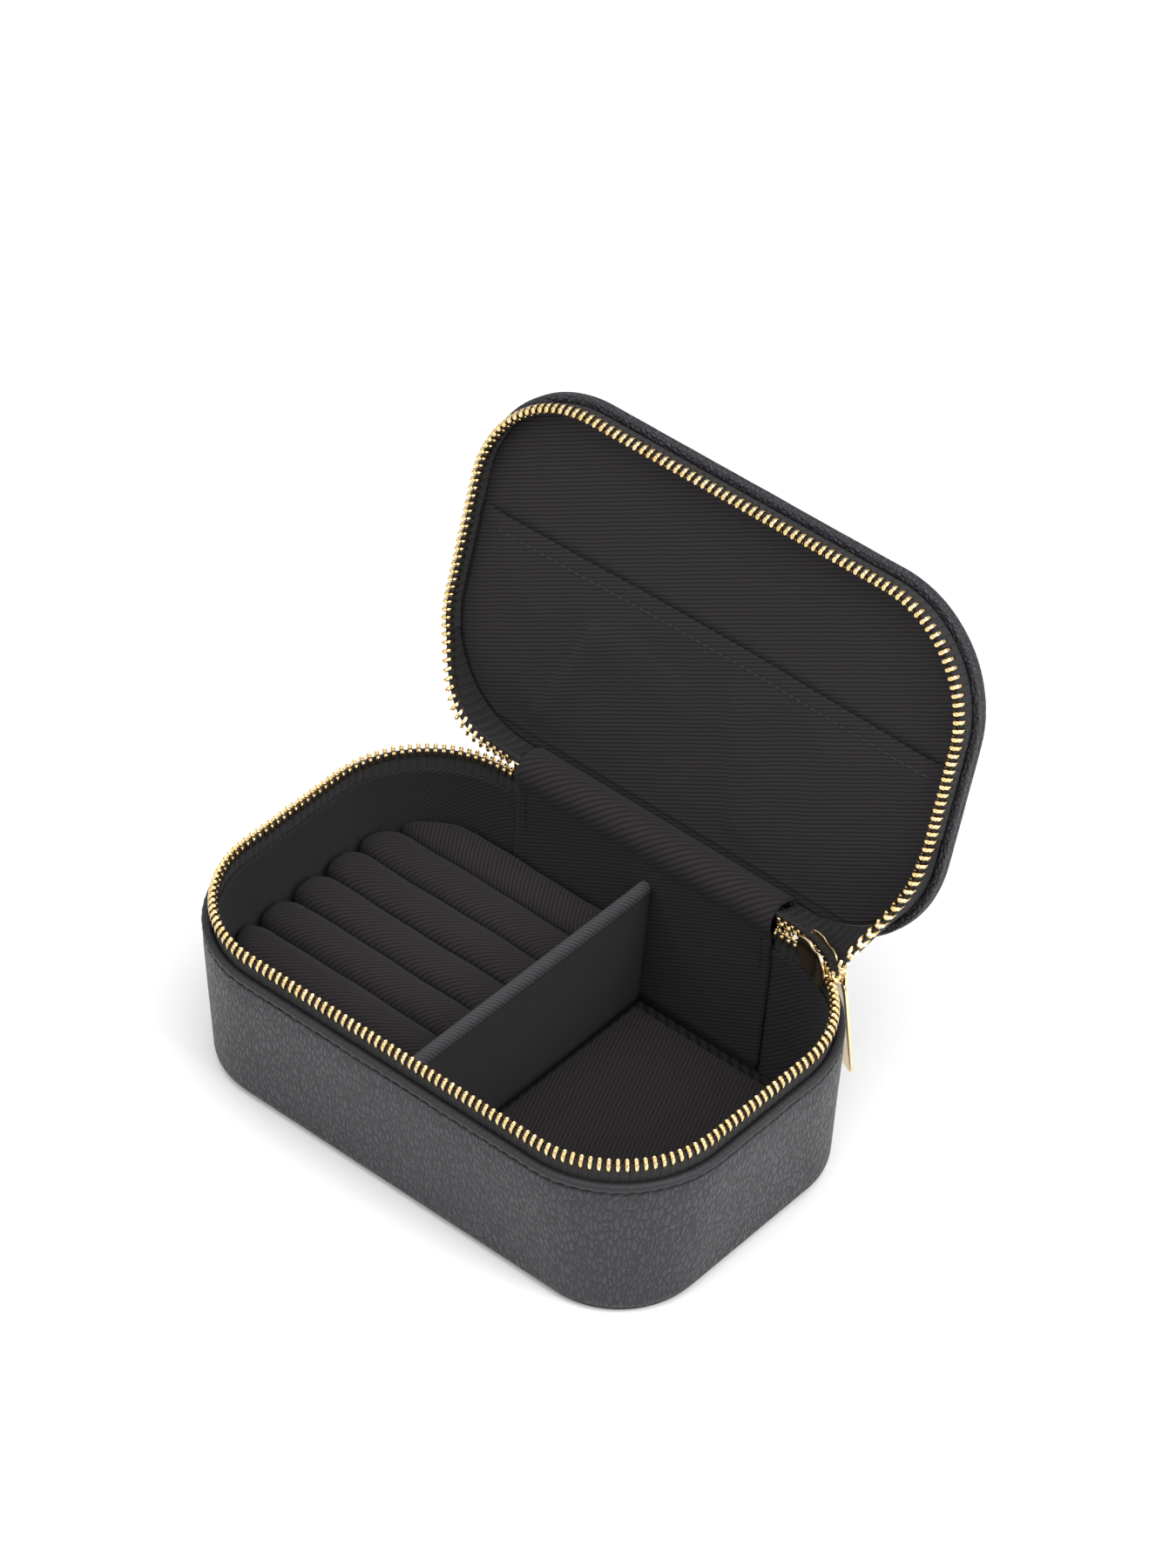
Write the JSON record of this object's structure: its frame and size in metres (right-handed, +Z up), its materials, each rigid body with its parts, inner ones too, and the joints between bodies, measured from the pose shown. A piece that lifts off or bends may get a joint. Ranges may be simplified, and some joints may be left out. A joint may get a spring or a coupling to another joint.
{
  "type": "jewellery case",
  "caption": "Zip-around leather jewellery case standing open: rigid base with ring rolls and a divided tray, lid with slip pocket, metal zip with pull.",
  "frame": {"origin": "centre of the underside of the base, on the table", "axes": "+Z up, +X along the case's length to the pull side, +Y to the hinge at the back"},
  "size_m": [0.1608, 0.1368, 0.1478],
  "materials": {
    "leather": "pebbled, semi-gloss",
    "board": "matt grey board",
    "twill": "fine black twill",
    "tape": "black herringbone tape",
    "thread": "black polyester thread",
    "teeth": "polished pale gold",
    "gold": "mirror-polished pale gold"
  },
  "bodies": {
    "base": {"base_leather": "leather", "base_bottom_leather": "leather", "base_wall_board": "board", "base_floor_board": "board", "base_wall_lining": "twill", "base_floor_lining": "twill", "base_floor_pad": "twill", "base_stitching": "thread", "divider": "twill", "ring_bed": "twill", "ring_roll_1": "twill", "ring_roll_2": "twill", "ring_roll_3": "twill", "ring_roll_4": "twill", "ring_roll_5": "twill", "ring_roll_6": "twill", "ring_roll_7": "twill", "hinge_leather": "leather", "hinge_lining": "twill", "hinge_stitching": "thread", "zip_tape_base": "tape", "zip_teeth_base": "teeth", "zip_stop": "teeth", "zip_tape_end_right": "tape", "zip_tape_end_left": "tape", "zip_teeth_end_right": "teeth", "zip_teeth_end_left": "teeth"},
    "lid": {"lid_leather": "leather", "lid_board": "board", "lid_lining": "twill", "lid_pocket": "twill", "pocket_stitching": "thread", "lid_stitching": "thread", "zip_tape_lid": "tape", "zip_teeth_lid": "teeth"},
    "slider": {"slider_outer_plate": "gold", "slider_inner_plate": "gold", "slider_post": "gold", "slider_lug": "gold"},
    "pull_loop": {"pull_loop": "gold"},
    "pull_plate": {"pull_plate": "gold"}
  },
  "joints": [
    {"name": "lid_hinge", "type": "hinge", "parent": "base", "child": "lid", "pos_m": [0, 0.049, 0.0545], "axis": [1, 0, 0], "range_deg": [0, 107], "deforming": ["hinge_leather", "hinge_lining", "zip_tape_end_right", "zip_tape_end_left", "zip_teeth_end_right", "zip_teeth_end_left"]},
    {"name": "slider_travel", "type": "hinge", "parent": "base", "child": "slider", "pos_m": [0.047, 0.017, 0.053], "axis": [0, 0, -1], "range_deg": [0, 60]},
    {"name": "loop_swing", "type": "hinge", "parent": "slider", "child": "pull_loop", "pos_m": [0.06162, 0.04836, 0.053], "axis": [0.9063, -0.4226, 0], "range_deg": [0, 45]},
    {"name": "plate_swing", "type": "hinge", "parent": "pull_loop", "child": "pull_plate", "pos_m": [0.06162, 0.04836, 0.0475], "axis": [0.9063, -0.4226, 0], "range_deg": [0, 60]}
  ]
}
